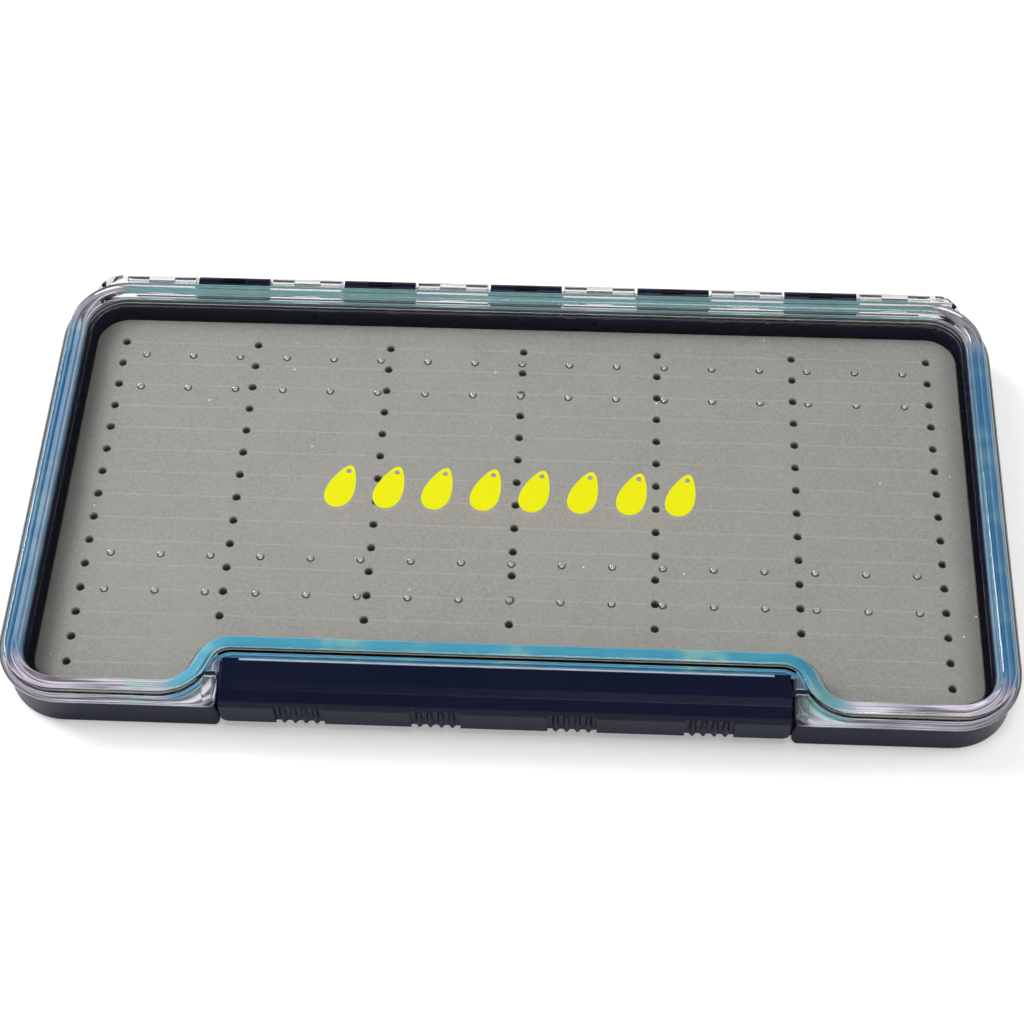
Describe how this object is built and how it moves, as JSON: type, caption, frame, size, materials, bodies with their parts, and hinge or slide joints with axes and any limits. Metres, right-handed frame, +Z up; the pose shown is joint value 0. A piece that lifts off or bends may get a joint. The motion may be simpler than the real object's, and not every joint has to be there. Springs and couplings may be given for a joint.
{
  "type": "spoon lure box",
  "caption": "Slim watertight lure box with a slit foam sheet, a clear hinged lid on a silicone seal and a wide front latch.",
  "frame": {"origin": "on the underside of the tub, below the middle of the foam sheet's pattern of holes", "axes": "+X along the hinge, towards the right end as seen from the latch; +Y from the latch towards the hinge; +Z up, out of the clear lid"},
  "size_m": [0.2644, 0.1453, 0.016],
  "materials": {
    "navy_plastic": "glossy injection-moulded dark navy plastic",
    "clear_plastic": "polished clear polycarbonate",
    "blue_silicone": "smooth blue silicone rubber",
    "grey_foam": "matt fine-celled grey foam",
    "glue": "double-sided adhesive film",
    "steel": "drawn stainless steel rod"
  },
  "bodies": {
    "tub": {"tub": "navy_plastic", "foam_glue": "glue", "foam_sheet": "grey_foam", "hinge_rod": "steel"},
    "lid": {"lid": "clear_plastic", "lid_seal": "blue_silicone"},
    "latch": {"latch": "navy_plastic"}
  },
  "joints": [
    {"name": "lid_hinge", "type": "hinge", "parent": "tub", "child": "lid", "pos_m": [0, 0.0729, 0.011], "axis": [-1, 0, 0], "range_deg": [0, 180]},
    {"name": "latch_pivot", "type": "hinge", "parent": "lid", "child": "latch", "pos_m": [0, -0.0613, 0.0129], "axis": [-1, 0, 0], "range_deg": [0, 90]}
  ]
}
